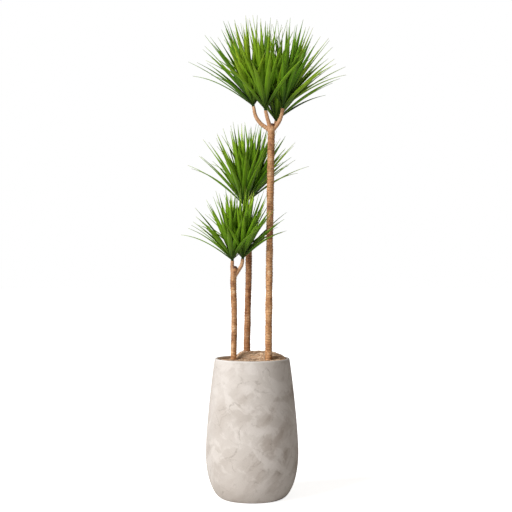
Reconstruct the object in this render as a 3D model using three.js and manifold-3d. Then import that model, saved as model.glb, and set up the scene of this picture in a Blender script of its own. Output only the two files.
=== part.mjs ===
// A potted yucca: three ring-scarred canes with eight leafy crowns in a tall rounded planter.
// Millimetres, +Z up. The origin is the centre of the planter's underside and the front faces -Y.
import * as THREE from "three";
import { mergeVertices } from "three/addons/utils/BufferGeometryUtils.js";
import Module from "manifold-3d";

const wasm = await Module();
wasm.setup();

// Driving dimensions
const PLANTER_HEIGHT = 600;
const BELLY_RADIUS = 200;
const BELLY_HEIGHT = 193;
const MOUTH_RADIUS = 161;
const FOOT_RADIUS = 128;
const WALL = 12;
const FLOOR = 20;
const GAP = 0.3;
const PEBBLE_TOP = 62;
const SOIL_TOP = 566;
const HEAP_TOP = 623;
const MULCH_EDGE = 597;
const RECESS_FLOOR = 580;
const LEAF_WIDTH = 20;
const LEAVES_IN_CROWN = 48;
const WHORLS = ["outer", "middle", "inner"];
const WHORL_RISE = 15;
const SHEATH_RADIUS = 7;
const LEAVES_IN_SOLID = 6;
const GOLDEN_ANGLE = Math.PI * (3 - Math.sqrt(5));
const LEAF_STEPS = 12;

// The three canes. A trunk and each branch is a centreline with a radius at its start and end.
const CANES = [
  {
    name: "tall",
    trunk: {
      line: [[70, -60, 340], [70, -60, 610], [75, -60, 1109], [82, -60, 1557], [83, -60, 1590]],
      radii: [14, 14.5],
    },
    stub: { line: [[83, -62, 1572], [87, -65, 1606]], radii: [10, 8.5] },
    branches: [
      {
        line: [[80, -60, 1572], [58, -59, 1590], [36, -58, 1607], [16, -56, 1637], [6, -55, 1679]],
        radii: [9, 6.5],
      },
      { line: [[80, -62, 1580], [68, -69, 1618], [57, -78, 1660]], radii: [9, 6.5] },
      { line: [[88, -60, 1578], [112, -61, 1609], [124, -62, 1636], [131, -63, 1670]], radii: [9, 6.5] },
      { line: [[87, -54, 1580], [98, -36, 1598], [102, -20, 1618]], radii: [8, 6.5] },
    ],
  },
  {
    name: "middle",
    trunk: { line: [[-23, 70, 340], [-23, 70, 620], [-15, 70, 1002], [-15, 70, 1172]], radii: [15, 12.5] },
    stub: { line: [[-15, 70, 1160], [-12, 66, 1186]], radii: [9, 8] },
    branches: [
      { line: [[-18, 69, 1150], [-28, 66, 1192], [-34, 62, 1258]], radii: [8.5, 6.5] },
      { line: [[-13, 72, 1152], [-16, 80, 1222], [-2, 88, 1291]], radii: [8.5, 6.5] },
    ],
  },
  {
    name: "short",
    trunk: {
      line: [[-79, -50, 380], [-79, -50, 601], [-76, -50, 789], [-80, -50, 938], [-77, -50, 982]],
      radii: [12.5, 12.5],
    },
    stub: { line: [[-77, -51, 962], [-73, -55, 997]], radii: [11, 10] },
    branches: [
      { line: [[-80, -50, 955], [-85, -52, 988], [-84, -54, 1020]], radii: [8.5, 6.5] },
      { line: [[-73, -50, 958], [-58, -50, 980], [-45, -49, 1001], [-40, -48, 1028]], radii: [8.5, 6.5] },
    ],
  },
];

// The eight crowns, each at the end of one branch: lean is the tilt of its axis off upright.
const CROWNS = [
  {
    cane: "tall", side: "left", base: [6, -55, 1679], lean: [-0.2, 0.04],
    length: 338, spread: 0.74, spin: 0.4,
  },
  {
    cane: "tall", side: "centre", base: [57, -78, 1660], lean: [-0.05, -0.12],
    length: 345, spread: 0.72, spin: 2.1,
  },
  {
    cane: "tall", side: "right", base: [131, -63, 1670], lean: [0.2, -0.02],
    length: 328, spread: 0.76, spin: 3.7,
  },
  {
    cane: "tall", side: "back", base: [102, -20, 1618], lean: [0.14, 0.18],
    length: 338, spread: 0.78, spin: 5.2,
  },
  {
    cane: "middle", side: "left", base: [-34, 62, 1258], lean: [-0.07, -0.08],
    length: 318, spread: 0.74, spin: 1.1,
  },
  {
    cane: "middle", side: "right", base: [-2, 88, 1291], lean: [0.14, 0.1],
    length: 292, spread: 0.78, spin: 4.4,
  },
  {
    cane: "short", side: "left", base: [-84, -54, 1020], lean: [-0.04, -0.05],
    length: 258, spread: 0.84, spin: 2.9,
  },
  {
    cane: "short", side: "right", base: [-40, -48, 1028], lean: [0.08, 0.02],
    length: 262, spread: 0.84, spin: 0.9,
  },
];

const concrete = new THREE.MeshStandardMaterial({ color: "#dbd1c9", roughness: 0.85, metalness: 0 });
const clay = new THREE.MeshStandardMaterial({ color: "#a06a48", roughness: 0.9, metalness: 0 });
const earth = new THREE.MeshStandardMaterial({ color: "#3a2a1e", roughness: 0.95, metalness: 0 });
const bark = new THREE.MeshStandardMaterial({ color: "#c9a583", roughness: 0.95, metalness: 0 });
const caneSkin = new THREE.MeshStandardMaterial({ color: "#c4976f", roughness: 0.7, metalness: 0 });
const leafGreen = new THREE.MeshStandardMaterial({ color: "#4d7519", roughness: 0.45, metalness: 0 });

const part = new THREE.Group();

// Closed geometry to a solid that can be joined and cut, and back.
function toSolid(geometry) {
  geometry.deleteAttribute("normal");
  geometry.deleteAttribute("uv");
  const merged = mergeVertices(geometry, 1e-3);
  const corners = merged.index.array;
  const faces = [];
  for (let i = 0; i < corners.length; i += 3) {
    const [a, b, c] = corners.slice(i, i + 3);
    if (a !== b && b !== c && c !== a) {
      faces.push(a, b, c);
    }
  }
  const vertProperties = new Float32Array(merged.attributes.position.array);
  const mesh = new wasm.Mesh({ numProp: 3, vertProperties, triVerts: new Uint32Array(faces) });
  const solid = new wasm.Manifold(mesh);
  if (solid.volume() > 0) {
    return solid;
  }
  mesh.triVerts = new Uint32Array(faces.reverse());
  return new wasm.Manifold(mesh);
}

function largestPiece(solid) {
  return solid.decompose().reduce((best, piece) => (piece.volume() > best.volume() ? piece : best));
}

function addPart(name, solid, material) {
  const { vertProperties, triVerts } = largestPiece(solid).getMesh();
  const geometry = new THREE.BufferGeometry();
  geometry.setAttribute("position", new THREE.BufferAttribute(vertProperties, 3));
  geometry.setIndex(new THREE.BufferAttribute(triVerts, 1));
  geometry.computeVertexNormals();
  const mesh = new THREE.Mesh(geometry, material);
  mesh.name = name;
  part.add(mesh);
}

function turned(outline, sides) {
  return toSolid(new THREE.LatheGeometry(outline, sides).rotateX(Math.PI / 2));
}

// Planter: one turned shell. Its outside runs from a flat foot round the belly and in to the mouth.
function shellCurves(path, inset, floor) {
  const belly = BELLY_RADIUS - inset;
  const foot = FOOT_RADIUS - inset;
  path.bezierCurveTo(foot + 31, floor, belly, BELLY_HEIGHT - 118, belly, BELLY_HEIGHT);
  const mouth = MOUTH_RADIUS - inset;
  path.bezierCurveTo(belly, BELLY_HEIGHT + 102, mouth + 9.5, PLANTER_HEIGHT - 52, mouth, PLANTER_HEIGHT);
}

function cavity(inset) {
  const path = new THREE.Path().moveTo(0, FLOOR + inset - WALL);
  path.lineTo(FOOT_RADIUS - inset, FLOOR + inset - WALL);
  shellCurves(path, inset, FLOOR + inset - WALL);
  path.lineTo(MOUTH_RADIUS - inset, PLANTER_HEIGHT + 60);
  path.lineTo(0, PLANTER_HEIGHT + 60);
  return turned(path.getPoints(6), 40);
}

function planter() {
  const path = new THREE.Path().moveTo(0, 0);
  path.lineTo(FOOT_RADIUS, 0);
  shellCurves(path, 0, 0);
  path.lineTo(0, PLANTER_HEIGHT);
  return turned(path.getPoints(6), 40).subtract(cavity(WALL));
}

function layer(bottom, top) {
  const slab = new THREE.CylinderGeometry(BELLY_RADIUS + 10, BELLY_RADIUS + 10, top - bottom, 24);
  slab.rotateX(Math.PI / 2).translate(0, 0, (bottom + top) / 2);
  return toSolid(slab);
}

// Mulch: its top is a heap off centre, with a low recess at the left where the plant is watered.
function mulchTop(x, y) {
  const { smoothstep, clamp } = THREE.MathUtils;
  const acrossHeap = smoothstep(x, -84, -38) * (1 - clamp((x - 50) / 104, 0, 1) ** 2);
  const throughHeap = smoothstep(y, -58, 2) * (1 - smoothstep(y, 84, 146));
  const heap = MULCH_EDGE + (HEAP_TOP - MULCH_EDGE) * acrossHeap * throughHeap;
  const fromRecess = Math.hypot(x + 118, y - 45);
  const dip = 46 * (1 - smoothstep(fromRecess, 25, 78));
  return Math.max(heap - dip, RECESS_FLOOR);
}

function mulch() {
  const radius = MOUTH_RADIUS;
  const bottom = SOIL_TOP + GAP;
  const rings = 9;
  const outline = [new THREE.Vector2(0, bottom), new THREE.Vector2(radius, bottom)];
  for (let ring = rings; ring >= 0; ring--) {
    outline.push(new THREE.Vector2((radius * ring) / rings, PLANTER_HEIGHT));
  }
  const geometry = new THREE.LatheGeometry(outline, 28).rotateX(Math.PI / 2);
  const position = geometry.attributes.position;
  for (let i = 0; i < position.count; i++) {
    if (position.getZ(i) > bottom + 1) {
      position.setZ(i, mulchTop(position.getX(i), position.getY(i)));
    }
  }
  return toSolid(geometry);
}

// Limbs: a straight turned bar with closed ends is bent along its centreline.
function limb({ line, radii }, sides, extra = 0) {
  const curve = new THREE.CatmullRomCurve3(line.map((point) => new THREE.Vector3(...point)));
  const rings = 2 * (line.length - 1);
  const outline = [new THREE.Vector2(0, 0)];
  for (let ring = 0; ring <= rings; ring++) {
    const radius = THREE.MathUtils.lerp(radii[0], radii[1], ring / rings) + extra;
    outline.push(new THREE.Vector2(radius, ring / rings));
  }
  outline.push(new THREE.Vector2(0, 1));
  const geometry = new THREE.LatheGeometry(outline, sides);
  const position = geometry.attributes.position;
  for (let i = 0; i < position.count; i++) {
    const place = curve.getPoint(position.getY(i));
    const along = curve.getTangent(position.getY(i));
    const across = new THREE.Vector3(0.2, 1, 0).cross(along).normalize();
    const out = across.clone().cross(along);
    place.addScaledVector(across, position.getX(i)).addScaledVector(out, position.getZ(i));
    position.setXYZ(i, place.x, place.y, place.z);
  }
  return toSolid(geometry);
}

function roots(cane) {
  const [x, y, z] = cane.trunk.line[0];
  return [0.5, 2.6, 4.7].map((angle) => {
    const point = (out, down) => [x + out * Math.cos(angle), y + out * Math.sin(angle), z - down];
    return { line: [point(0, -30), point(22, 10), point(44, 60)], radii: [6, 2.5] };
  });
}

function caneSolid(cane, extra) {
  const limbs = [
    limb(cane.trunk, 10, extra),
    limb(cane.stub, 8, extra),
    ...cane.branches.map((branch) => limb(branch, 8, extra)),
    ...roots(cane).map((root) => limb(root, 6, extra)),
  ];
  return wasm.Manifold.union(limbs);
}

// Leaves: leaf 0 is the oldest and leans out furthest. Each next leaf turns by the golden angle.
const JITTER_STEPS = [0.7548776662, 0.569840291, 0.8191725134, 0.6710436067];

function jitter(leaf, kind) {
  return (((leaf + 1) * JITTER_STEPS[kind]) % 1) - 0.5;
}

function leafShape(crown, leaf) {
  const age = 1 - (leaf + 0.5) / LEAVES_IN_CROWN;
  const whorl = Math.floor((leaf * WHORLS.length) / LEAVES_IN_CROWN);
  const withinWhorl = ((leaf * WHORLS.length) / LEAVES_IN_CROWN) % 1;
  return {
    turn: leaf * GOLDEN_ANGLE + crown.spin + 0.3 * jitter(leaf, 0),
    tilt: 0.05 + crown.spread * age ** 0.8 + 0.12 * jitter(leaf, 1),
    droop: 0.12 + 0.75 * age ** 3 + 0.25 * age * jitter(leaf, 2),
    length: crown.length * (1 - 0.06 * age + 0.14 * jitter(leaf, 3)),
    rise: WHORL_RISE * whorl + 4 + 7 * withinWhorl,
    twist: 0.9 * jitter(leaf, 2),
  };
}

function leafPath(crown, leaf, nudge) {
  const shape = leafShape(crown, leaf);
  const axis = new THREE.Vector3(...crown.lean, 1).normalize();
  const upright = new THREE.Quaternion().setFromUnitVectors(new THREE.Vector3(0, 0, 1), axis);
  const turn = shape.turn + nudge;
  const outward = new THREE.Vector3(Math.cos(turn), Math.sin(turn), 0).applyQuaternion(upright);
  const across = new THREE.Vector3(-Math.sin(turn), Math.cos(turn), 0).applyQuaternion(upright);
  const start = outward.clone().multiplyScalar(Math.sin(shape.tilt));
  start.addScaledVector(axis, Math.cos(shape.tilt));
  const place = new THREE.Vector3(...crown.base);
  place.addScaledVector(axis, shape.rise).addScaledVector(outward, 2.5);
  const stations = [];
  for (let step = 0; step <= LEAF_STEPS; step++) {
    const s = step / LEAF_STEPS;
    const sag = shape.droop * Math.max(start.z, 0) * s ** 1.5;
    const along = start.clone().setZ(start.z - sag).normalize();
    const lift = along.clone().cross(across).normalize();
    const angle = shape.twist * s;
    const side = across.clone().multiplyScalar(Math.cos(angle)).addScaledVector(lift, Math.sin(angle));
    stations.push({ s, place: place.clone(), along, side, up: along.clone().cross(side).normalize() });
    place.addScaledVector(along, shape.length / LEAF_STEPS);
  }
  return stations;
}

function leafWidth(s) {
  const swell = 0.42 + 0.58 * Math.sin((Math.PI / 2) * Math.min(1, s / 0.33));
  const taper = Math.cos((Math.PI / 2) * Math.max(0, (s - 0.33) / 0.67)) ** 1.4;
  return LEAF_WIDTH * swell * taper;
}

function distanceToCanes(place) {
  let least = Infinity;
  for (const cane of CANES) {
    const line = cane.trunk.line;
    for (let i = 1; i < line.length; i++) {
      const [from, to] = [line[i - 1], line[i]].map((point) => new THREE.Vector3(...point));
      const nearest = new THREE.Line3(from, to).closestPointToPoint(place, true, new THREE.Vector3());
      least = Math.min(least, nearest.distanceTo(place));
    }
  }
  return least;
}

// A leaf that would run into a trunk grows past it: its turn is nudged until it is clear.
function clearPath(crown, leaf) {
  for (const nudge of [0, 0.12, -0.12, 0.24, -0.24, 0.36, -0.36, 0.5, -0.5]) {
    const stations = leafPath(crown, leaf, nudge);
    if (stations.every(({ s, place }) => s < 0.2 || distanceToCanes(place) > 18 + leafWidth(s) / 2)) {
      return stations;
    }
  }
  return leafPath(crown, leaf, 0.6);
}

// A leaf is a three-sided spindle bent along its path: two edges, and the keel under the channel.
function leafSolid(stations, extra) {
  const kept = [0, 2, 4, 7, 10, 12];
  const outline = kept.map((step) => new THREE.Vector2(step === LEAF_STEPS ? 0 : 1, step));
  outline.unshift(new THREE.Vector2(0, 0));
  const geometry = new THREE.LatheGeometry(outline, 3);
  const position = geometry.attributes.position;
  for (let i = 0; i < position.count; i++) {
    const { s, place, side, up } = stations[Math.round(position.getY(i))];
    const [x, z] = [position.getX(i), position.getZ(i)];
    const half = leafWidth(s) / 2 + extra;
    const spot = place.clone();
    if (Math.hypot(x, z) > 0.5) {
      const isKeel = Math.abs(x) < 0.1;
      spot.addScaledVector(side, isKeel ? 0 : Math.sign(x) * half);
      spot.addScaledVector(up, isKeel ? -1.2 - extra : 0.3 * half + extra);
    }
    position.setXYZ(i, spot.x, spot.y, spot.z);
  }
  return toSolid(geometry);
}

// The clasping leaf bases of one whorl form a short sheath round the branch tip.
function sheath(crown, whorl, extra) {
  const bottom = WHORL_RISE * whorl + (whorl === 0 ? GAP : 0) - extra;
  const top = WHORL_RISE * (whorl + 1) - GAP + extra + (whorl === 2 ? 20 : 0);
  const radius = SHEATH_RADIUS - 1.2 * whorl + extra;
  const outline = [[0, bottom], [radius, bottom], [whorl === 2 ? 1.5 : radius - 0.5, top], [0, top]];
  const geometry = new THREE.LatheGeometry(outline.map(([r, z]) => new THREE.Vector2(r, z)), 8);
  const axis = new THREE.Vector3(...crown.lean, 1).normalize();
  geometry.applyQuaternion(new THREE.Quaternion().setFromUnitVectors(new THREE.Vector3(0, 1, 0), axis));
  geometry.translate(...crown.base);
  return toSolid(geometry);
}

const canes = CANES.map((cane) => caneSolid(cane, 0));
const caneRoom = wasm.Manifold.union(CANES.map((cane) => caneSolid(cane, GAP)));

addPart("planter", planter(), concrete);
const filling = cavity(WALL + GAP);
addPart("drainage_pebbles", filling.intersect(layer(0, PEBBLE_TOP)), clay);
addPart("potting_soil", filling.intersect(layer(PEBBLE_TOP + GAP, SOIL_TOP)).subtract(caneRoom), earth);
addPart("bark_mulch", mulch().intersect(filling).subtract(caneRoom), bark);
CANES.forEach((cane, i) => {
  const crowns = CROWNS.filter((crown) => crown.cane === cane.name);
  const tips = wasm.Manifold.union(crowns.map((crown) => sheath(crown, 0, GAP)));
  addPart(`cane_${cane.name}`, canes[i].subtract(tips), caneSkin);
});

// Each whorl keeps only leaves that stay clear of every cane and of the leaves of other whorls.
const sheaths = CROWNS.flatMap((crown) => WHORLS.map((whorl, w) => sheath(crown, w, 0)));
let taken = wasm.Manifold.union([...canes, ...sheaths]);
for (const crown of CROWNS) {
  WHORLS.forEach((whorl, w) => {
    const own = sheath(crown, w, 0);
    const others = taken.subtract(sheath(crown, w, 0.05));
    const first = (LEAVES_IN_CROWN * w) / WHORLS.length;
    const last = (LEAVES_IN_CROWN * (w + 1)) / WHORLS.length;
    const leaves = [];
    for (let leaf = first; leaf < last && leaves.length < LEAVES_IN_SOLID; leaf++) {
      const stations = clearPath(crown, leaf);
      if (leafSolid(stations, GAP).intersect(others).isEmpty()) {
        leaves.push(leafSolid(stations, 0));
      }
    }
    const solid = largestPiece(wasm.Manifold.union([own, ...leaves]));
    taken = taken.add(solid);
    addPart(`leaves_${crown.cane}_${crown.side}_${whorl}`, solid, leafGreen);
  });
}

export default part;
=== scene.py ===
import math
import random

import bpy
from mathutils import Matrix, Quaternion, Vector, kdtree, noise
from mathutils.geometry import interpolate_bezier


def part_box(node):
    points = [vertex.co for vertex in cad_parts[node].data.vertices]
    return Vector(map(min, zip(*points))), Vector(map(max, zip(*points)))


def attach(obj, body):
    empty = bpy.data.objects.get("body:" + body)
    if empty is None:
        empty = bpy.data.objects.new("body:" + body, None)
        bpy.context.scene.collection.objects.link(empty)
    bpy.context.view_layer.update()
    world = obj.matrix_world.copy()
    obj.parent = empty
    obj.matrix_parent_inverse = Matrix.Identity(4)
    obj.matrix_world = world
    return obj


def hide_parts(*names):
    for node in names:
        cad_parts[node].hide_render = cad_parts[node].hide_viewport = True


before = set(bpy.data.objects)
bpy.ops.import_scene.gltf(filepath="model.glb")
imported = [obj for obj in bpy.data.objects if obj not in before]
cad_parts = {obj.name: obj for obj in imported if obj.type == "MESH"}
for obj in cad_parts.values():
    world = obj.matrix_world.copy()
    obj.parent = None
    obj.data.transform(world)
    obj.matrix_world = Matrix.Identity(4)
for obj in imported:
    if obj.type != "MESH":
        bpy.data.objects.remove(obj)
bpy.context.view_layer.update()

# ---------------------------------------------------------------------------------------------------
# Planter. One shell cast in pale fibre concrete, with a flat foot, a round belly and a narrower mouth.
# The maker trowels a thin slurry over it by hand, which leaves overlapping smears, pits and hairlines.
# ---------------------------------------------------------------------------------------------------
planter_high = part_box("planter")[1]
planter_height = planter_high[2]
belly_radius = planter_high[0]
belly_height = 0.193
mouth_radius = 0.161
foot_radius = 0.128
wall = 0.012
floor_thickness = 0.020
lip_round = 0.003
lip_steps = 3
planter_sides = 128
pole_radius = 0.004


def bowl_outline(inset, bottom):
    """(radius, height) up the bowl, from the foot round the belly and in to the mouth."""
    foot = foot_radius - inset
    belly = belly_radius - inset
    mouth = mouth_radius - inset
    lower = interpolate_bezier(
        (foot, 0, bottom),
        (foot + 0.031, 0, bottom),
        (belly, 0, belly_height - 0.118),
        (belly, 0, belly_height),
        16,
    )
    upper = interpolate_bezier(
        (belly, 0, belly_height),
        (belly, 0, belly_height + 0.102),
        (mouth + 0.0095, 0, planter_height - 0.052),
        (mouth, 0, planter_height),
        22,
    )
    return [(point.x, point.z) for point in lower + upper[1:]]


def lip_outline():
    """The rounded lip, over the top of the wall from outside to inside."""
    outside, inside = [], []
    for step in range(lip_steps + 1):
        angle = math.radians(90 * step / lip_steps)
        drop = lip_round * (1 - math.sin(angle))
        draw_in = lip_round * (1 - math.cos(angle))
        outside.append((mouth_radius - draw_in, planter_height - drop))
        inside.append((mouth_radius - wall + draw_in, planter_height - drop))
    return outside + inside[::-1]


def turn_outline(name, outline, sides):
    """A round piece raised ring by ring from a small circle on the axis, and closed at both poles."""
    bpy.ops.object.select_all(action="DESELECT")
    radius, height = pole_radius, outline[0][1]
    bpy.ops.mesh.primitive_circle_add(vertices=sides, radius=radius, location=(0, 0, height))
    piece = bpy.context.active_object
    piece.name = name
    bpy.ops.object.transform_apply(location=True, rotation=False, scale=False)
    bpy.ops.object.mode_set(mode="EDIT")
    bpy.ops.mesh.select_all(action="SELECT")
    for next_radius, next_height in outline + [(pole_radius, outline[-1][1])]:
        bpy.ops.mesh.extrude_region_move(
            TRANSFORM_OT_translate={"value": (0, 0, next_height - height)}
        )
        grow = next_radius / radius
        bpy.ops.transform.resize(value=(grow, grow, 1), center_override=(0, 0, next_height))
        radius, height = next_radius, next_height
    bpy.ops.mesh.merge(type="COLLAPSE")
    bpy.ops.object.mode_set(mode="OBJECT")
    for vertex in piece.data.vertices:
        is_first_ring = vertex.index < sides
        vertex.select = is_first_ring
    bpy.ops.object.mode_set(mode="EDIT")
    bpy.ops.mesh.merge(type="COLLAPSE")
    bpy.ops.mesh.select_all(action="SELECT")
    bpy.ops.mesh.normals_make_consistent(inside=False)
    bpy.ops.object.mode_set(mode="OBJECT")
    bpy.ops.object.shade_smooth()
    return piece


def add_node(tree, kind, values=None, links=None, **settings):
    """One shader node with its settings, its fixed inputs and its linked inputs."""
    made = tree.nodes.new("ShaderNode" + kind)
    for setting, value in settings.items():
        setattr(made, setting, value)
    for socket, value in (values or {}).items():
        made.inputs[socket].default_value = value
    for socket, source in (links or {}).items():
        tree.links.new(source, made.inputs[socket])
    return made


def add_ramp(tree, source, stops, interpolation="LINEAR"):
    """A colour ramp over source, with stops of (position, (r, g, b)) or (position, grey)."""
    ramp = add_node(tree, "ValToRGB", links={"Fac": source})
    elements = ramp.color_ramp.elements
    ramp.color_ramp.interpolation = interpolation
    while len(elements) < len(stops):
        elements.new(0.5)
    for element, (position, colour) in zip(elements, stops):
        element.position = position
        rgb = colour if isinstance(colour, tuple) else (colour, colour, colour)
        element.color = (*rgb, 1)
    return ramp.outputs["Color"]


def mix_colours(tree, factor, first, second, blend="MIX"):
    """Second over first by factor. Each may be a colour or a socket."""
    made = add_node(tree, "Mix", data_type="RGBA", blend_type=blend)
    for index, value in ((0, factor), (6, first), (7, second)):
        if isinstance(value, bpy.types.NodeSocket):
            tree.links.new(value, made.inputs[index])
        elif isinstance(value, tuple):
            made.inputs[index].default_value = (*value, 1)
        else:
            made.inputs[index].default_value = value
    return made.outputs[2]


def calculate(tree, operation, *terms):
    """A maths node over its terms. Each may be a number or a socket."""
    made = add_node(tree, "Math", operation=operation)
    for index, term in enumerate(terms):
        if isinstance(term, bpy.types.NodeSocket):
            tree.links.new(term, made.inputs[index])
        else:
            made.inputs[index].default_value = term
    return made.outputs[0]


def new_material(name, **fixed):
    """An empty material and its Principled shader, which holds the values that are constant."""
    material = bpy.data.materials.new(name)
    material.use_nodes = True
    tree = material.node_tree
    shader = tree.nodes["Principled BSDF"]
    for socket, value in fixed.items():
        shader.inputs[socket.replace("_", " ")].default_value = value
    return material, tree, shader


concrete, tree, shader = new_material("trowelled_concrete")
place = add_node(tree, "TexCoord").outputs["Object"]
wander = add_node(tree, "TexNoise", {"Scale": 5.0, "Detail": 3.0}, {"Vector": place})
bent = add_node(
    tree, "VectorMath", {"Scale": 0.11}, {0: wander.outputs["Color"]}, operation="SCALE"
)
bent = add_node(tree, "VectorMath", None, {0: place, 1: bent.outputs[0]}, operation="ADD")
strokes = []
trowel_turns = ((0.0, -0.85, 0.0), (0.0, 0.75, 0.3), (0.0, 0.95, 1.57))
for index, turn in enumerate(trowel_turns):
    shift = (index * 1.7, 0.4, 0.9 * index)
    drawn_out = add_node(
        tree,
        "Mapping",
        {"Rotation": turn, "Scale": (0.20, 0.10, 0.060), "Location": shift},
        {"Vector": bent.outputs[0]},
        vector_type="TEXTURE",
    )
    smear = add_node(
        tree,
        "TexNoise",
        {"Scale": 1.0, "Detail": 7.0, "Roughness": 0.56},
        {"Vector": drawn_out.outputs[0]},
    )
    strokes.append(smear.outputs["Fac"])
cloud = add_node(
    tree, "TexNoise", {"Scale": 3.6, "Detail": 5.0, "Roughness": 0.55}, {"Vector": place}
)
ground = add_ramp(
    tree, cloud.outputs["Fac"], [(0.36, (0.545, 0.495, 0.450)), (0.64, (0.655, 0.607, 0.565))]
)
# Painted shade: the dark smears are the concrete's own, but they are weighted to build up towards the
# right, the side away from the key light, which darkens that side.
across_planter = add_node(tree, "SeparateXYZ", None, {"Vector": place}).outputs["X"]
painted_shade_right_side = add_node(
    tree,
    "MapRange",
    {"From Min": -0.10, "From Max": 0.13, "To Min": 0.30, "To Max": 1.0},
    {"Value": across_planter},
).outputs[0]
dark_smear = add_ramp(
    tree, strokes[0], [(0.47, 0.0), (0.51, 0.27), (0.57, 0.36), (0.61, 0.66), (0.70, 0.85)]
)
dark_smear = calculate(tree, "MULTIPLY", dark_smear, painted_shade_right_side)
colour = mix_colours(tree, dark_smear, ground, (0.355, 0.290, 0.242))
both = calculate(tree, "MINIMUM", strokes[1], strokes[2])
pale_smear = add_ramp(tree, both, [(0.32, 0.65), (0.40, 0.45), (0.43, 0.12), (0.48, 0.0)])
colour = mix_colours(tree, pale_smear, colour, (0.72, 0.675, 0.635))
ragged = add_node(
    tree, "TexNoise", {"Scale": 17.0, "Detail": 4.0, "Roughness": 0.7}, {"Vector": place}
)
ragged = add_node(
    tree, "VectorMath", {"Scale": 0.55}, {0: ragged.outputs["Color"]}, operation="SCALE"
)
cracks = []
for index, scale in enumerate((0.9, 1.7, 1.2)):
    crazed = add_node(
        tree, "VectorMath", {"Scale": 9.0 * scale}, {0: bent.outputs[0]}, operation="SCALE"
    )
    crazed = add_node(
        tree, "VectorMath", None, {0: crazed.outputs[0], 1: ragged.outputs[0]}, operation="ADD"
    )
    cell = add_node(
        tree,
        "TexVoronoi",
        {"Scale": 1.0},
        {"Vector": crazed.outputs[0]},
        feature="DISTANCE_TO_EDGE",
    )
    line = add_ramp(tree, cell.outputs["Distance"], [(0.0, 1.0), (0.012, 0.5), (0.03, 0.0)])
    here = add_ramp(tree, strokes[(index + 1) % 3], [(0.53, 0.0), (0.64, 1.0)])
    cracks.append(calculate(tree, "MULTIPLY", line, here))
hairline = calculate(tree, "MAXIMUM", calculate(tree, "MAXIMUM", cracks[0], cracks[1]), cracks[2])
crack_shade = calculate(tree, "MULTIPLY", hairline, 0.55)
colour = mix_colours(tree, crack_shade, colour, (0.27, 0.225, 0.19))
pits = add_node(tree, "TexVoronoi", {"Scale": 120.0, "Randomness": 1.0}, {"Vector": place})
pit = add_ramp(tree, pits.outputs["Distance"], [(0.06, 0.7), (0.17, 0.0)])
scatter = add_node(tree, "TexNoise", {"Scale": 28.0, "Detail": 2.0}, {"Vector": place})
scatter = add_ramp(tree, scatter.outputs["Fac"], [(0.56, 0.0), (0.68, 1.0)])
pit = calculate(tree, "MULTIPLY", pit, scatter)
colour = mix_colours(tree, pit, colour, (0.36, 0.31, 0.275))
grit = add_node(tree, "TexNoise", {"Scale": 420.0, "Detail": 2.0}, {"Vector": place})
speckle = add_ramp(tree, grit.outputs["Fac"], [(0.3, 0.94), (0.7, 1.05)])
colour = mix_colours(tree, 1.0, colour, speckle, "MULTIPLY")
height = add_node(tree, "SeparateXYZ", None, {"Vector": place}).outputs["Z"]
# Painted shade: the lower bowl is darkened from the foot up to the belly, where it turns away under
# the bulge.
painted_shade_under_belly = add_ramp(
    tree, height, [(0.0, (0.74, 0.72, 0.70)), (0.07, (0.88, 0.87, 0.86)), (0.20, 1.0)]
)
colour = mix_colours(tree, 1.0, colour, painted_shade_under_belly, "MULTIPLY")
# Painted highlight: the top few millimetres of the lip are lightened, where the rim catches the light.
painted_lip_highlight = add_ramp(tree, height, [(0.5945, 0.0), (0.5985, 0.7)])
colour = mix_colours(tree, painted_lip_highlight, colour, (0.80, 0.77, 0.74))
tree.links.new(colour, shader.inputs["Base Color"])
rough = add_ramp(tree, dark_smear, [(0.0, 0.86), (1.0, 0.74)])
tree.links.new(rough, shader.inputs["Roughness"])
relief = calculate(tree, "MULTIPLY", strokes[0], 0.8)
relief = calculate(tree, "SUBTRACT", hairline, relief)
relief = calculate(tree, "SUBTRACT", 1.0, relief)
relief = calculate(tree, "SUBTRACT", relief, pit)
fine = calculate(tree, "MULTIPLY", grit.outputs["Fac"], 0.15)
relief = calculate(tree, "ADD", relief, fine)
bump = add_node(tree, "Bump", {"Strength": 0.5, "Distance": 0.0012}, {"Height": relief})
tree.links.new(bump.outputs[0], shader.inputs["Normal"])

outline = bowl_outline(0, 0)[:-1] + lip_outline() + bowl_outline(wall, floor_thickness)[-2::-1]
planter = turn_outline("planter_shell", outline, planter_sides)
planter.data.materials.append(concrete)
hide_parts("planter")
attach(planter, "root")

# ---------------------------------------------------------------------------------------------------
# Drainage pebbles and potting soil. Fired clay granules lie on the planter's floor, and dark peaty
# compost fills it above them. Both are poured in loose and are hidden by the bark.
# ---------------------------------------------------------------------------------------------------
clay, tree, shader = new_material("fired_clay_granules")
place = add_node(tree, "TexCoord").outputs["Object"]
grains = add_node(tree, "TexVoronoi", {"Scale": 75.0}, {"Vector": place})
tone = add_node(tree, "SeparateColor", None, {"Color": grains.outputs["Color"]})
colour = add_ramp(
    tree,
    tone.outputs[0],
    [(0.0, (0.20, 0.10, 0.06)), (0.5, (0.33, 0.17, 0.10)), (1.0, (0.42, 0.27, 0.19))],
)
tree.links.new(colour, shader.inputs["Base Color"])
rough = add_ramp(tree, tone.outputs[1], [(0.0, 0.8), (1.0, 0.95)])
tree.links.new(rough, shader.inputs["Roughness"])
bump = add_node(
    tree,
    "Bump",
    {"Strength": 0.9, "Distance": 0.004},
    {"Height": grains.outputs["Distance"]},
    invert=True,
)
tree.links.new(bump.outputs[0], shader.inputs["Normal"])

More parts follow.
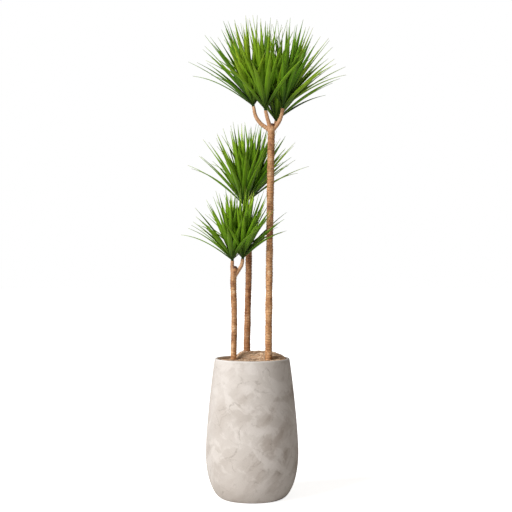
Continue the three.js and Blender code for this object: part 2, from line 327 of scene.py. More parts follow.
compost, tree, shader = new_material("peaty_compost")
place = add_node(tree, "TexCoord").outputs["Object"]
crumbs = add_node(
    tree, "TexNoise", {"Scale": 160.0, "Detail": 6.0, "Roughness": 0.65}, {"Vector": place}
)
colour = add_ramp(
    tree,
    crumbs.outputs["Fac"],
    [(0.35, (0.012, 0.007, 0.004)), (0.55, (0.045, 0.027, 0.016)), (0.72, (0.12, 0.075, 0.045))],
)
tree.links.new(colour, shader.inputs["Base Color"])
rough = add_ramp(tree, crumbs.outputs["Fac"], [(0.3, 0.98), (0.7, 0.85)])
tree.links.new(rough, shader.inputs["Roughness"])
bump = add_node(
    tree, "Bump", {"Strength": 0.9, "Distance": 0.004}, {"Height": crumbs.outputs["Fac"]}
)
tree.links.new(bump.outputs[0], shader.inputs["Normal"])
for node_name, filling in (("drainage_pebbles", clay), ("potting_soil", compost)):
    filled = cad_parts[node_name]
    filled.data.materials.clear()
    filled.data.materials.append(filling)

# ---------------------------------------------------------------------------------------------------
# Canes. Each is one grown stem of tan bark, ringed where old leaves dropped. It was sawn off once, so
# it ends in a dark healed stub with young branches round it, and a few roots hold it in the compost.
# ---------------------------------------------------------------------------------------------------
ring_gap = 0.0115
ring_rise, ring_fall = 0.8, 0.2  # shares of the gap in which the bark swells and drops
bark_voxel = 0.0016
melt_loss = 0.0009  # what melting the limbs together takes off their radius
fork_reach = 0.045
stub_face = 0.009
root_radii = (6, 2.5)
# Each cane's shade value is painted shade: how strongly its bark is darkened for the shadow the crowns
# cast on it, most for the middle cane.
canes = {
    "tall": {
        "shade": 0.12,
        "trunk": (
            [(70, -60, 340), (70, -60, 610), (75, -60, 1109), (82, -60, 1557), (83, -60, 1590)],
            (14, 14.5),
        ),
        "stub": ([(83, -62, 1572), (87, -65, 1606)], (10, 8.5)),
        "branches": [
            (
                [(80, -60, 1572), (58, -59, 1590), (36, -58, 1607), (16, -56, 1637), (6, -55, 1679)],
                (9, 6.5),
            ),
            ([(80, -62, 1580), (68, -69, 1618), (57, -78, 1660)], (9, 6.5)),
            ([(88, -60, 1578), (112, -61, 1609), (124, -62, 1636), (131, -63, 1670)], (9, 6.5)),
            ([(87, -54, 1580), (98, -36, 1598), (102, -20, 1618)], (8, 6.5)),
        ],
    },
    "middle": {
        "shade": 0.6,
        "trunk": ([(-23, 70, 340), (-23, 70, 620), (-15, 70, 1002), (-15, 70, 1172)], (15, 12.5)),
        "stub": ([(-15, 70, 1160), (-12, 66, 1186)], (9, 8)),
        "branches": [
            ([(-18, 69, 1150), (-28, 66, 1192), (-34, 62, 1258)], (8.5, 6.5)),
            ([(-13, 72, 1152), (-16, 80, 1222), (-2, 88, 1291)], (8.5, 6.5)),
        ],
    },
    "short": {
        "shade": 0.2,
        "trunk": (
            [(-79, -50, 380), (-79, -50, 601), (-76, -50, 789), (-80, -50, 938), (-77, -50, 982)],
            (12.5, 12.5),
        ),
        "stub": ([(-77, -51, 962), (-73, -55, 997)], (11, 10)),
        "branches": [
            ([(-80, -50, 955), (-85, -52, 988), (-84, -54, 1020)], (8.5, 6.5)),
            ([(-73, -50, 958), (-58, -50, 980), (-45, -49, 1001), (-40, -48, 1028)], (8.5, 6.5)),
        ],
    },
}


def smooth_line(points, steps):
    """Even points along a smooth line through the given ones, whatever their spacing."""
    ends = [2 * points[0] - points[1], *points, 2 * points[-1] - points[-2]]
    line = []
    for before, start, end, after in zip(ends, ends[1:], ends[2:], ends[3:]):
        gap_in, gap, gap_out = [
            math.sqrt((b - a).length) for a, b in ((before, start), (start, end), (end, after))
        ]
        leave = (start - before) / gap_in - (end - before) / (gap_in + gap) + (end - start) / gap
        arrive = (end - start) / gap - (after - start) / (gap + gap_out) + (after - end) / gap_out
        line += interpolate_bezier(
            start, start + leave * gap / 3, end - arrive * gap / 3, end, steps + 1
        )[:-1]
    return line + [points[-1]]


def grow_limb(name, points, radii, dome):
    """A round limb along points. A trunk's top is domed over like a healed cut."""
    line = smooth_line([Vector(point) / 1000 for point in points], 16)
    curve = bpy.data.curves.new(name, "CURVE")
    curve.dimensions = "3D"
    curve.bevel_depth = 1.0
    curve.bevel_resolution = 5
    curve.use_fill_caps = True
    spline = curve.splines.new("POLY")
    spline.points.add(len(line) - 1)
    lengths = [0.0]
    for start, end in zip(line, line[1:]):
        lengths.append(lengths[-1] + (end - start).length)
    for index, (spot, length) in enumerate(zip(line, lengths)):
        radius = (radii[0] + (radii[1] - radii[0]) * index / (len(line) - 1)) / 1000
        to_top = lengths[-1] - length
        if dome and to_top < radius:
            radius *= 0.45 + 0.55 * math.sqrt(max(0.0, 1 - (1 - to_top / radius) ** 2))
        spline.points[index].co = (*spot, 1)
        spline.points[index].radius = radius
    limb = bpy.data.objects.new(name, curve)
    bpy.context.collection.objects.link(limb)
    return limb, list(zip(line, lengths))


def root_lines(trunk_base):
    """Three short buried roots that spread down and out from the trunk's base."""
    x, y, z = trunk_base
    lines = []
    for angle in (0.5, 2.6, 4.7):
        spread = [(0, 30), (22, -10), (44, -60)]
        lines.append(
            [(x + out * math.cos(angle), y + out * math.sin(angle), z + up) for out, up in spread]
        )
    return lines


def make_cane(name, plan):
    """One cane: its limbs melted together, smoothed at the fork, and ringed with leaf scars."""
    bpy.ops.object.select_all(action="DESELECT")
    trunk_points, trunk_radii = plan["trunk"]
    limbs = [(trunk_points, trunk_radii, 0.0, True), (*plan["stub"], 0.0, True)]
    limbs += [(points, radii, 1.0, False) for points, radii in plan["branches"]]
    limbs += [(points, root_radii, 0.0, False) for points in root_lines(trunk_points[0])]
    samples = []
    for index, (points, radii, young, dome) in enumerate(limbs):
        limb, line = grow_limb(f"{name}_limb_{index}", points, radii, dome)
        limb.select_set(True)
        bpy.context.view_layer.objects.active = limb
        samples += [(spot, length, young, index == 1, line[-1][1]) for spot, length in line]
    bpy.ops.object.convert(target="MESH")
    bpy.ops.object.join()
    cane = bpy.context.active_object
    cane.name = name
    melt = cane.modifiers.new("melt", "REMESH")
    melt.mode = "VOXEL"
    melt.voxel_size = bark_voxel
    bpy.ops.object.modifier_apply(modifier="melt")

    fork = Vector(plan["branches"][0][0][0]) / 1000
    group = cane.vertex_groups.new(name="fork")
    for vertex in cane.data.vertices:
        weight = 1 - (vertex.co - fork).length / fork_reach
        if weight > 0:
            group.add([vertex.index], min(1.0, 2 * weight), "REPLACE")
    blend = cane.modifiers.new("blend", "SMOOTH")
    blend.factor = 0.5
    blend.iterations = 8
    blend.vertex_group = "fork"
    bpy.ops.object.modifier_apply(modifier="blend")
    cane.vertex_groups.clear()

    tree_of_samples = kdtree.KDTree(len(samples))
    for index, sample in enumerate(samples):
        tree_of_samples.insert(sample[0], index)
    tree_of_samples.balance()
    mesh = cane.data
    along_bark = mesh.attributes.new("along", "FLOAT", "POINT")
    young_bark = mesh.attributes.new("young", "FLOAT", "POINT")
    cut_wood = mesh.attributes.new("cut", "FLOAT", "POINT")
    painted_cane_shade = mesh.attributes.new("shade", "FLOAT", "POINT")
    painted_cane_shade.data.foreach_set("value", [plan["shade"]] * len(mesh.vertices))
    along_values, young_values, cut_values, moved = [], [], [], []
    normals = [vertex.normal.copy() for vertex in mesh.vertices]
    for vertex, normal in zip(mesh.vertices, normals):
        spot = vertex.co.copy()
        index = tree_of_samples.find(spot)[1]
        centre, length, young, is_stub, whole = samples[index]
        is_last = length >= whole
        following = 2 * centre - samples[index - 1][0] if is_last else samples[index + 1][0]
        along = length + (spot - centre).dot((following - centre).normalized())
        near_top = is_stub and whole - along < stub_face
        wobble = noise.noise(spot * 35) * 0.5 + noise.noise(spot * 9) * 0.8
        phase = (along / ring_gap + wobble) % 1
        scar = phase / ring_rise if phase < ring_rise else (1 - phase) / ring_fall
        ring_depth = 0.0 if is_stub else 0.0017 - 0.0009 * young
        knob = noise.noise(spot * 14) * 0.0015 + noise.noise(spot * 70) * 0.0010
        swell = ring_depth * (scar - 0.6) + knob * (1 - 0.5 * young) + melt_loss
        along_values.append(along)
        young_values.append(young)
        cut_values.append(1.0 if near_top else 0.0)
        moved.extend(spot + normal * swell)
    along_bark.data.foreach_set("value", along_values)
    young_bark.data.foreach_set("value", young_values)
    cut_wood.data.foreach_set("value", cut_values)
    mesh.vertices.foreach_set("co", moved)
    mesh.update()
    bpy.ops.object.shade_smooth()
    return cane


cane_bark, tree, shader = new_material("ringed_cane_bark")
place = add_node(tree, "TexCoord").outputs["Object"]
along = add_node(tree, "Attribute", attribute_name="along").outputs["Fac"]
young = add_node(tree, "Attribute", attribute_name="young").outputs["Fac"]
cut = add_node(tree, "Attribute", attribute_name="cut").outputs["Fac"]
sway = add_node(tree, "TexNoise", {"Scale": 38.0, "Detail": 3.0}, {"Vector": place})
sway = calculate(tree, "MULTIPLY", sway.outputs["Fac"], 1.6)
phase = calculate(tree, "MULTIPLY_ADD", along, 1 / ring_gap, sway)
phase = calculate(tree, "FRACT", phase)
scar = add_ramp(
    tree,
    phase,
    [(0.0, 0.5), (0.10, 0.0), (0.74, 0.0), (0.88, 0.9), (0.94, 1.0), (1.0, 0.5)],
)
broken = add_node(tree, "TexNoise", {"Scale": 95.0, "Detail": 3.0}, {"Vector": place})
broken = add_ramp(tree, broken.outputs["Fac"], [(0.38, 0.05), (0.62, 1.0)])
scar = calculate(tree, "MULTIPLY", scar, broken)
patch = add_node(
    tree, "TexNoise", {"Scale": 30.0, "Detail": 6.0, "Roughness": 0.66}, {"Vector": place}
)
colour = add_ramp(
    tree,
    patch.outputs["Fac"],
    [
        (0.35, (0.28, 0.110, 0.038)),
        (0.45, (0.54, 0.265, 0.105)),
        (0.56, (0.68, 0.375, 0.170)),
        (0.68, (0.92, 0.650, 0.410)),
    ],
)
strip = add_node(tree, "Mapping", {"Scale": (260.0, 260.0, 22.0)}, {"Vector": place})
fibre = add_node(
    tree,
    "TexNoise",
    {"Scale": 1.0, "Detail": 4.0, "Roughness": 0.6},
    {"Vector": strip.outputs[0]},
)
streak = add_ramp(tree, fibre.outputs["Fac"], [(0.35, 0.72), (0.65, 1.14)])
colour = mix_colours(tree, 1.0, colour, streak, "MULTIPLY")
faint = calculate(tree, "MULTIPLY_ADD", young, -0.45, 0.95)
scar_shade = calculate(tree, "MULTIPLY", scar, faint)
colour = mix_colours(tree, scar_shade, colour, (0.15, 0.055, 0.020))
smooth_skin = mix_colours(tree, patch.outputs["Fac"], (0.50, 0.26, 0.125), (0.72, 0.44, 0.26))
half_young = calculate(tree, "MULTIPLY", young, 0.55)
colour = mix_colours(tree, half_young, colour, smooth_skin)
# Painted shade: the bark is darkened by the cane's shade value, for the shadow of the crowns above it.
painted_cane_shade = add_node(tree, "Attribute", attribute_name="shade").outputs["Fac"]
shaded_bark = mix_colours(tree, 1.0, colour, (0.50, 0.36, 0.27), "MULTIPLY")
colour = mix_colours(tree, painted_cane_shade, colour, shaded_bark)
dots = add_node(tree, "TexVoronoi", {"Scale": 210.0}, {"Vector": place})
dot = add_ramp(tree, dots.outputs["Distance"], [(0.18, 0.85), (0.38, 0.0)])
some = add_node(tree, "SeparateColor", None, {"Color": dots.outputs["Color"]}).outputs[0]
some = add_ramp(tree, some, [(0.60, 0.0), (0.66, 1.0)])
dot = calculate(tree, "MULTIPLY", calculate(tree, "MULTIPLY", dot, some), faint)
colour = mix_colours(tree, dot, colour, (0.14, 0.052, 0.020))
colour = mix_colours(tree, cut, colour, (0.10, 0.035, 0.014))
tree.links.new(colour, shader.inputs["Base Color"])
rough = add_ramp(tree, scar, [(0.0, 0.62), (1.0, 0.85)])
tree.links.new(rough, shader.inputs["Roughness"])
relief = calculate(tree, "MULTIPLY_ADD", scar, -0.5, fibre.outputs["Fac"])
bump = add_node(tree, "Bump", {"Strength": 0.6, "Distance": 0.0008}, {"Height": relief})
tree.links.new(bump.outputs[0], shader.inputs["Normal"])

for cane_name, plan in canes.items():
    cane = make_cane(f"cane_{cane_name}_grown", plan)
    cane.data.materials.clear()
    cane.data.materials.append(cane_bark)
    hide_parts(f"cane_{cane_name}")
    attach(cane, "root")

# ---------------------------------------------------------------------------------------------------
# Bark mulch. A loose dressing of dry shredded bark and coir, tipped in by hand: a heap off centre,
# and a low hollow at the left where the plant is watered. Shreds lie on a bed of crumbled bark.
# ---------------------------------------------------------------------------------------------------
heap_top = 0.623
mulch_edge = 0.597
hollow_x, hollow_y = -0.118, 0.045
hollow_depth = 0.046
hollow_floor = 0.580
bed_rings = 36
bed_sides = 112
bed_sink = 0.0022
mulch_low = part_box("bark_mulch")[0]
mulch_radius = mouth_radius - wall - 0.0006


def ease(value, start, end):
    """Rises smoothly from 0 at start to 1 at end."""
    share = min(1.0, max(0.0, (value - start) / (end - start)))
    return share * share * (3 - 2 * share)


def mulch_height(x, y):
    """Height of the dressing: a heap with a flat top, less the hollow at the left."""
    across_heap = ease(x, -0.084, -0.038) * (1 - min(1.0, max(0.0, (x - 0.050) / 0.104)) ** 2)
    through_heap = ease(y, -0.058, 0.002) * (1 - ease(y, 0.084, 0.146))
    heap = mulch_edge + (heap_top - mulch_edge) * across_heap * through_heap
    from_hollow = math.hypot(x - hollow_x, y - hollow_y)
    dip = hollow_depth * (1 - ease(from_hollow, 0.025, 0.078))
    return max(heap - dip, hollow_floor)


bed_outline = [(mulch_radius, mulch_low[2] + 0.0004)]
bed_outline += [
    (mulch_radius * (bed_rings - ring) / bed_rings, heap_top) for ring in range(bed_rings)
]
bed = turn_outline("mulch_bed", bed_outline, bed_sides)
for vertex in bed.data.vertices:
    if vertex.co.z > mulch_low[2] + 0.002:
        lump = noise.noise(vertex.co * 45) * 0.0022 + noise.noise(vertex.co * 160) * 0.0008
        vertex.co.z = mulch_height(vertex.co.x, vertex.co.y) - bed_sink + lump

crumb, tree, shader = new_material("crumbled_bark")
place = add_node(tree, "TexCoord").outputs["Object"]
flat = add_node(
    tree, "Mapping", {"Rotation": (0, 0, 0.7), "Scale": (90.0, 260.0, 120.0)}, {"Vector": place}
)
bits = add_node(
    tree,
    "TexNoise",
    {"Scale": 1.0, "Detail": 5.0, "Roughness": 0.7, "Distortion": 0.6},
    {"Vector": flat.outputs[0]},
)
colour = add_ramp(
    tree,
    bits.outputs["Fac"],
    [(0.33, (0.15, 0.066, 0.028)), (0.42, (0.56, 0.35, 0.19)), (0.60, (0.86, 0.61, 0.41))],
)
tree.links.new(colour, shader.inputs["Base Color"])
rough = add_ramp(tree, bits.outputs["Fac"], [(0.3, 0.95), (0.7, 0.82)])
tree.links.new(rough, shader.inputs["Roughness"])
bump = add_node(tree, "Bump", {"Strength": 1.0, "Distance": 0.003}, {"Height": bits.outputs["Fac"]})
tree.links.new(bump.outputs[0], shader.inputs["Normal"])
bed.data.materials.append(crumb)
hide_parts("bark_mulch")
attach(bed, "root")

shred_bark, tree, shader = new_material("shredded_bark")
place = add_node(tree, "TexCoord").outputs["Object"]
tone = add_node(tree, "Attribute", attribute_name="tone").outputs["Fac"]
colour = add_ramp(
    tree,
    tone,
    [
        (0.0, (0.24, 0.11, 0.05)),
        (0.10, (0.66, 0.43, 0.25)),
        (0.6, (0.86, 0.62, 0.42)),
        (1.0, (0.96, 0.79, 0.60)),
    ],
)
grain = add_node(tree, "TexNoise", {"Scale": 320.0, "Detail": 4.0}, {"Vector": place})
grain_shade = add_ramp(tree, grain.outputs["Fac"], [(0.3, 0.74), (0.7, 1.12)])
colour = mix_colours(tree, 1.0, colour, grain_shade, "MULTIPLY")
# Painted shade: dark streaks laid across the shreds stand in for the shade in the gaps between them.
lain = add_node(
    tree, "Mapping", {"Rotation": (0, 0, 0.8), "Scale": (28.0, 95.0, 28.0)}, {"Vector": place}
)
gap = add_node(
    tree,
    "TexNoise",
    {"Scale": 1.0, "Detail": 4.0, "Roughness": 0.6},
    {"Vector": lain.outputs[0]},
)
gap = add_ramp(tree, gap.outputs["Fac"], [(0.56, 0.0), (0.64, 0.8)])
colour = mix_colours(tree, gap, colour, (0.17, 0.075, 0.032))
tree.links.new(colour, shader.inputs["Base Color"])
rough = add_ramp(tree, grain.outputs["Fac"], [(0.3, 0.95), (0.7, 0.8)])
tree.links.new(rough, shader.inputs["Roughness"])
bump = add_node(
    tree, "Bump", {"Strength": 0.7, "Distance": 0.0008}, {"Height": grain.outputs["Fac"]}
)
tree.links.new(bump.outputs[0], shader.inputs["Normal"])

chance = random.Random(41)


def make_shred(name, length, width, thickness, curl):
    """One torn sliver: a thin bar, tapered to its ends and curled along its length."""
    bpy.ops.object.select_all(action="DESELECT")
    bpy.ops.mesh.primitive_cube_add(size=1)
    shred = bpy.context.active_object
    shred.name = name
    bpy.ops.object.mode_set(mode="EDIT")
    bpy.ops.mesh.select_all(action="SELECT")
    bpy.ops.transform.resize(value=(length, width, thickness))
    for cut_at in (-0.3, 0.0, 0.3):
        bpy.ops.mesh.select_all(action="SELECT")
        bpy.ops.mesh.bisect(plane_co=(cut_at * length, 0, 0), plane_no=(1, 0, 0))
    bpy.ops.object.mode_set(mode="OBJECT")
    for vertex in shred.data.vertices:
        share = vertex.co.x / length
        vertex.co.y *= 1 - 1.3 * share * share
        vertex.co.z += curl * length * share * share
        vertex.co += Vector((chance.gauss(0, 0.02 * length), chance.gauss(0, 0.10 * width), 0))
    return shred


shred_kinds = [
    make_shred("shred_long", 0.032, 0.0028, 0.0011, 0.05),
    make_shred("shred_broad", 0.020, 0.0060, 0.0014, 0.04),
    make_shred("shred_short", 0.012, 0.0036, 0.0014, -0.06),
    make_shred("shred_thread", 0.030, 0.0013, 0.0009, 0.08),
]
cane_feet = [(70, -60, 14), (-23, 70, 15), (-79, -50, 13)]  # x, y and radius in mm
foot_clearance = 9
shred_reach = 0.018
shreds = []
shred_count = 2600
while len(shreds) < shred_count:
    distance = (mulch_radius - 0.006) * math.sqrt(chance.random())
    angle = chance.uniform(0, 2 * math.pi)
    x, y = distance * math.cos(angle), distance * math.sin(angle)
    kind = shred_kinds[chance.choices(range(4), (4, 1, 3, 5))[0]]
    turn, tip, roll = chance.gauss(0.75, 0.6), chance.gauss(0, 0.07), chance.gauss(0, 0.3)
    size, lift = chance.uniform(0.6, 1.05), chance.uniform(-0.0020, 0.0008)
    tone_value = chance.random()
    if any(
        math.hypot(x - foot_x / 1000, y - foot_y / 1000) < (radius + foot_clearance) / 1000
        for foot_x, foot_y, radius in cane_feet
    ):
        continue
    slope_x = (mulch_height(x + 0.004, y) - mulch_height(x - 0.004, y)) / 0.008
    slope_y = (mulch_height(x, y + 0.004) - mulch_height(x, y - 0.004)) / 0.008
    tilt = Vector((0, 0, 1)).rotation_difference(Vector((-slope_x, -slope_y, 1)))
    lie = tilt @ Quaternion((0, 0, 1), turn)
    lie = lie @ Quaternion((0, 1, 0), tip) @ Quaternion((1, 0, 0), roll)
    spot = Vector((x, y, mulch_height(x, y) + lift))
    placing = Matrix.Translation(spot) @ lie.to_matrix().to_4x4() @ Matrix.Scale(size, 4)
    if any(
        math.hypot(*(placing @ Vector((end, 0, 0))).xy) > mulch_radius - 0.002
        for end in (-shred_reach, shred_reach)
    ):
        continue
    shred = kind.copy()
    shred.data = kind.data.copy()
    shred.data.transform(placing)
    toned = shred.data.attributes.new("tone", "FLOAT", "POINT")
    toned.data.foreach_set("value", [tone_value] * len(shred.data.vertices))
    shreds.append(shred)
bpy.ops.object.select_all(action="DESELECT")
for kind in shred_kinds:
    bpy.data.objects.remove(kind)
for shred in shreds:
    bpy.context.collection.objects.link(shred)
    shred.select_set(True)
bpy.context.view_layer.objects.active = shreds[0]
bpy.ops.object.join()
mulch_shreds = bpy.context.active_object
mulch_shreds.name = "mulch_shreds"
mulch_shreds.data.materials.append(shred_bark)
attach(mulch_shreds, "root")

# ---------------------------------------------------------------------------------------------------
# Leaves. Narrow blades folded along a pale midrib, each clasping the branch tip with its base. The
# oldest leaf leans out furthest, and each next one stands more upright, a golden angle further round.
# ---------------------------------------------------------------------------------------------------
leaf_width = 0.020
tip_width = 0.0004
leaf_thickness = 0.0007
widest_at, taper_over = 0.33, 0.67  # shares of the leaf's length
tip_fullness = 0.3
blade_fold = 0.30
midrib_depth = 0.0006
trunk_clearance = 0.018
leaves_in_crown = 48
whorl_names = ("outer", "middle", "inner")
whorl_rise = 0.015
leaf_steps = 12
golden_angle = math.pi * (3 - math.sqrt(5))
golden_share = 0.6180339887
jitter_steps = (0.7548776662, 0.569840291, 0.8191725134, 0.6710436067)
crowns = [
    ("tall", "left", (6, -55, 1679), (-0.2, 0.04), 338, 0.74, 0.4),
    ("tall", "centre", (57, -78, 1660), (-0.05, -0.12), 345, 0.72, 2.1),
    ("tall", "right", (131, -63, 1670), (0.2, -0.02), 328, 0.76, 3.7),
    ("tall", "back", (102, -20, 1618), (0.14, 0.18), 338, 0.78, 5.2),
    ("middle", "left", (-34, 62, 1258), (-0.07, -0.08), 318, 0.74, 1.1),
    ("middle", "right", (-2, 88, 1291), (0.14, 0.1), 292, 0.78, 4.4),
    ("short", "left", (-84, -54, 1020), (-0.04, -0.05), 258, 0.84, 2.9),
    ("short", "right", (-40, -48, 1028), (0.08, 0.02), 262, 0.84, 0.9),
]


def jitter(leaf, kind):
    """A number from -0.5 to 0.5 that differs from leaf to leaf and from kind to kind."""
    return ((leaf + 1) * jitter_steps[kind]) % 1 - 0.5


def leaf_path(base, lean, length, spread, spin, leaf, nudge):
    """Stations up the leaf's midrib: (share of length, place, along, side, up)."""
    age = 1 - (leaf + 0.5) / leaves_in_crown
    whorl = leaf * len(whorl_names) // leaves_in_crown
    within_whorl = (leaf * len(whorl_names) / leaves_in_crown) % 1
    turn = leaf * golden_angle + spin + 0.3 * jitter(leaf, 0) + nudge
    tilt = 0.05 + spread * age**0.8 + 0.12 * jitter(leaf, 1)
    droop = 0.12 + 0.75 * age**3 + 0.25 * age * jitter(leaf, 2)
    whole = length * (1 - 0.06 * age + 0.14 * jitter(leaf, 3))
    rise = whorl_rise * whorl + 0.004 + 0.007 * within_whorl
    twist = 0.9 * jitter(leaf, 2)
    axis = Vector((*lean, 1)).normalized()
    upright = Vector((0, 0, 1)).rotation_difference(axis)
    outward = upright @ Vector((math.cos(turn), math.sin(turn), 0))
    across = upright @ Vector((-math.sin(turn), math.cos(turn), 0))
    start = outward * math.sin(tilt) + axis * math.cos(tilt)
    place = Vector(base) + axis * rise + outward * 0.0025
    stations = []
    for step in range(leaf_steps + 1):
        share = step / leaf_steps
        sag = droop * max(start.z, 0) * share**1.5
        along = Vector((start.x, start.y, start.z - sag)).normalized()
        lift = along.cross(across).normalized()
        side = across * math.cos(twist * share) + lift * math.sin(twist * share)
        stations.append((share, place.copy(), along, side, along.cross(side).normalized()))
        place += along * whole / leaf_steps
    return stations


def blade_width(share):
    """Width at a share of the leaf's length: it swells to its widest, then tapers to the tip."""
    swell = 0.42 + 0.58 * math.sin(math.pi / 2 * min(1, share / widest_at))
    taper = max(0.0, math.cos(math.pi / 2 * max(0, (share - widest_at) / taper_over))) ** 1.4
    return max(leaf_width * swell * taper, tip_width)


def distance_to_trunks(place):
    """How far place is from the nearest trunk's middle line."""
    least = 1.0
    for plan in canes.values():
        points = [Vector(point) / 1000 for point in plan["trunk"][0]]
        for start, end in zip(points, points[1:]):
            share = (place - start).dot(end - start) / (end - start).length_squared
            nearest = start + (end - start) * min(1.0, max(0.0, share))
            least = min(least, (place - nearest).length)
    return least


def clear_path(crown, leaf):
    """A leaf that would run into a trunk grows past it: its turn is nudged until it is clear."""
    base, lean, length, spread, spin = crown
    for nudge in (0, 0.12, -0.12, 0.24, -0.24, 0.36, -0.36, 0.5, -0.5):
        stations = leaf_path(base, lean, length, spread, spin, leaf, nudge)
        if all(
            share < 0.2 or distance_to_trunks(place) > trunk_clearance + blade_width(share) / 2
            for share, place, *_ in stations
        ):
            return stations
    return leaf_path(base, lean, length, spread, spin, leaf, 0.6)


bpy.ops.object.select_all(action="DESELECT")
bpy.ops.mesh.primitive_grid_add(x_subdivisions=2, y_subdivisions=leaf_steps, size=2)
blade = bpy.context.active_object
blade.name = "blade"
bpy.ops.object.shade_smooth()
blade_corners = [
    (vertex.co.x, round((vertex.co.y + 1) / 2 * leaf_steps)) for vertex in blade.data.vertices
]


def make_leaf(name, stations, tone_value):
    """A copy of the flat blade, bent along its path, folded at the midrib and narrowed to its tip."""
    leaf = blade.copy()
    leaf.data = blade.data.copy()
    leaf.name = name
    shares, sides = [], []
    for vertex, (side_share, step) in zip(leaf.data.vertices, blade_corners):
        share, place, along, side, up = stations[step]
        half = blade_width(share) / 2 * (1 + tip_fullness * share)
        fold = blade_fold * half * abs(side_share) - midrib_depth * (1 - abs(side_share))
        vertex.co = place + side * half * side_share + up * fold
        shares.append(share)
        sides.append(side_share)
    tones = [tone_value] * len(shares)
    for attribute, values in (("along", shares), ("across", sides), ("tone", tones)):
        made = leaf.data.attributes.new(attribute, "FLOAT", "POINT")
        made.data.foreach_set("value", values)
    bpy.context.collection.objects.link(leaf)
    return leaf


def make_sheath(crown, whorl):
    """The clasping leaf bases close into a short green sheath round the branch tip."""
    base, lean = crown[0], crown[1]
    bottom = whorl_rise * whorl
    top = whorl_rise * (whorl + 1) + (0.02 if whorl == 2 else 0)
    radius = 0.0066 - 0.0012 * whorl
    bpy.ops.mesh.primitive_cone_add(
        vertices=12,
        radius1=radius,
        radius2=0.0015 if whorl == 2 else radius - 0.0005,
        depth=top - bottom,
        location=(0, 0, (bottom + top) / 2),
    )
    core = bpy.context.active_object
    bpy.ops.object.transform_apply(location=True, rotation=True, scale=True)
    upright = Vector((0, 0, 1)).rotation_difference(Vector((*lean, 1)).normalized())
    core.data.transform(Matrix.Translation(base) @ upright.to_matrix().to_4x4())
    # The sheath takes the leaf colour near the base, so it carries the same painted shade.
    for attribute, value in (("along", 0.03), ("across", 0.5), ("tone", 0.4)):
        made = core.data.attributes.new(attribute, "FLOAT", "POINT")
        made.data.foreach_set("value", [value] * len(core.data.vertices))
    bpy.ops.object.shade_smooth()
    return core


leaf_skin, tree, shader = new_material("leaf_blade", Specular_IOR_Level=0.2)
place = add_node(tree, "TexCoord").outputs["Object"]
along = add_node(tree, "Attribute", attribute_name="along").outputs["Fac"]
across = add_node(tree, "Attribute", attribute_name="across").outputs["Fac"]
tone = add_node(tree, "Attribute", attribute_name="tone").outputs["Fac"]
# Painted shade: the colour darkens steeply towards the leaf base, for the shade deep inside the crown.
# Further out it is the leaf's own green, and the brownish tip is a dry tip.
colour = add_ramp(
    tree,
    along,
    [
        (0.0, (0.014, 0.042, 0.002)),
        (0.12, (0.038, 0.098, 0.003)),
        (0.32, (0.150, 0.300, 0.006)),
        (0.55, (0.215, 0.395, 0.009)),
        (0.82, (0.290, 0.480, 0.014)),
        (0.96, (0.380, 0.540, 0.050)),
        (1.0, (0.460, 0.420, 0.140)),
    ],
)
tint = add_ramp(
    tree,
    tone,
    [
        (0.0, (0.42, 0.60, 0.7)),
        (0.45, (0.84, 0.94, 1.0)),
        (0.8, (1.12, 1.10, 1.2)),
        (1.0, (1.55, 1.36, 2.4)),
    ],
)
colour = mix_colours(tree, 1.0, colour, tint, "MULTIPLY")
ribs = calculate(tree, "SINE", calculate(tree, "MULTIPLY", across, 34.0))
rib_shade = add_ramp(tree, ribs, [(0.0, 0.90), (1.0, 1.06)])
colour = mix_colours(tree, 1.0, colour, rib_shade, "MULTIPLY")
from_rib = calculate(tree, "ABSOLUTE", across)
midrib = add_ramp(tree, from_rib, [(0.0, 0.55), (0.10, 0.0)])
colour = mix_colours(tree, midrib, colour, (0.42, 0.62, 0.06))
# Painted light: the thin margin is paled, for the light that shows through the translucent edge.
painted_edge_light = add_ramp(tree, from_rib, [(0.90, 0.0), (1.0, 0.35)])
colour = mix_colours(tree, painted_edge_light, colour, (0.40, 0.55, 0.07))
mottle = add_node(tree, "TexNoise", {"Scale": 30.0, "Detail": 3.0}, {"Vector": place})
mottle_shade = add_ramp(tree, mottle.outputs["Fac"], [(0.3, 0.86), (0.7, 1.10)])
colour = mix_colours(tree, 1.0, colour, mottle_shade, "MULTIPLY")
tree.links.new(colour, shader.inputs["Base Color"])
rough = add_ramp(tree, mottle.outputs["Fac"], [(0.3, 0.42), (0.7, 0.56)])
tree.links.new(rough, shader.inputs["Roughness"])
bump = add_node(tree, "Bump", {"Strength": 0.35, "Distance": 0.0004}, {"Height": ribs})
tree.links.new(bump.outputs[0], shader.inputs["Normal"])
for crown_index, (cane_name, side_name, base, lean, length, spread, spin) in enumerate(crowns):
    crown = (Vector(base) / 1000, lean, length / 1000, spread, spin)
    for whorl, whorl_name in enumerate(whorl_names):
        node_name = f"leaves_{cane_name}_{side_name}_{whorl_name}"
        bpy.ops.object.select_all(action="DESELECT")
        sheath = make_sheath(crown, whorl)
        first = leaves_in_crown * whorl // len(whorl_names)
        last = leaves_in_crown * (whorl + 1) // len(whorl_names)
        leaves = []
        for leaf in range(first, last):
            tone_value = ((leaf + 7 * crown_index + 1) * golden_share) % 1
            leaves.append(make_leaf(f"{node_name}_{leaf}", clear_path(crown, leaf), tone_value))
        bpy.ops.object.select_all(action="DESELECT")
        for leaf in leaves:
            leaf.select_set(True)
        bpy.context.view_layer.objects.active = leaves[0]
        bpy.ops.object.join()
        foliage = bpy.context.active_object
        thicken = foliage.modifiers.new("thicken", "SOLIDIFY")
        thicken.thickness = leaf_thickness
        thicken.offset = 0
        bpy.ops.object.modifier_apply(modifier="thicken")
        sheath.select_set(True)
        bpy.ops.object.join()
        foliage.name = f"{node_name}_blades"
        foliage.data.materials.clear()
        foliage.data.materials.append(leaf_skin)
        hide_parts(node_name)
        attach(foliage, "root")
bpy.data.objects.remove(blade)

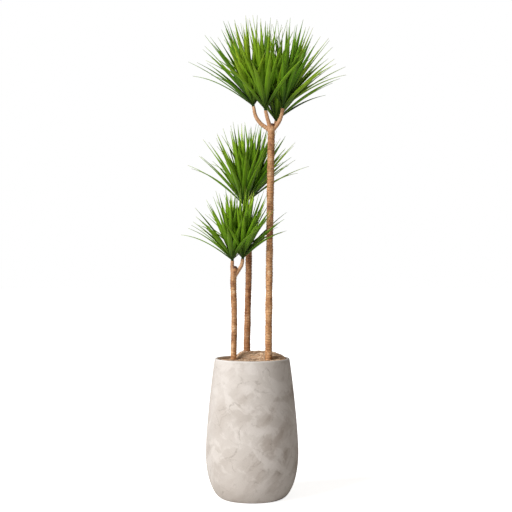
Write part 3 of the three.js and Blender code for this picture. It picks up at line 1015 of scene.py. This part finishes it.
# ---------------------------------------------------------------------------------------------------
# Studio. A pale floor, a bright even surround, one large soft light from the front left and a faint
# fill from the front.
# ---------------------------------------------------------------------------------------------------
bpy.ops.object.select_all(action="DESELECT")
bpy.ops.mesh.primitive_plane_add(size=60, location=(0, 0, -0.0005))
ground_plane = bpy.context.active_object
ground_plane.name = "studio_floor"
floor_paint, tree, shader = new_material(
    "studio_floor_paint",
    Base_Color=(0.92, 0.92, 0.92, 1),
    Roughness=0.9,
    Emission_Color=(1, 1, 1, 1),
)
seen = add_node(tree, "LightPath").outputs["Is Camera Ray"]
lift = add_node(tree, "Math", {1: 0.85}, {0: seen}, operation="MULTIPLY")
tree.links.new(lift.outputs[0], shader.inputs["Emission Strength"])
ground_plane.data.materials.append(floor_paint)

world = bpy.data.worlds.new("studio")
bpy.context.scene.world = world
world.use_nodes = True
sky = world.node_tree
backdrop = sky.nodes["Background"]
seen = add_node(sky, "LightPath").outputs["Is Camera Ray"]
tint = mix_colours(sky, seen, (1.0, 0.88, 0.76), (1.0, 1.0, 1.0))
sky.links.new(tint, backdrop.inputs["Color"])
strength = add_node(sky, "MapRange", {"To Min": 0.14, "To Max": 1.0}, {"Value": seen})
sky.links.new(strength.outputs[0], backdrop.inputs["Strength"])


def add_sun(name, from_place, softness, power):
    bpy.ops.object.light_add(type="SUN", location=from_place)
    lamp = bpy.context.active_object
    lamp.name = name
    lamp.data.angle = math.radians(softness)
    lamp.data.energy = power
    lamp.rotation_euler = Vector(from_place).to_track_quat("Z", "Y").to_euler()
    return lamp


add_sun("key_light", (-3.4, -2.7, 2.3), 30, 3.25)
add_sun("front_fill", (-0.5, -4.0, 1.2), 60, 0.3)

camera_data = bpy.data.cameras.new("studio_camera")
camera = bpy.data.objects.new("studio_camera", camera_data)
bpy.context.collection.objects.link(camera)
camera.location = (0.0168, -4.851, 1.041)
camera.rotation_euler = (math.pi / 2, 0, 0)
camera_data.sensor_width = 36
camera_data.lens = 78.96
bpy.context.scene.camera = camera
bpy.context.scene.view_settings.view_transform = "Standard"
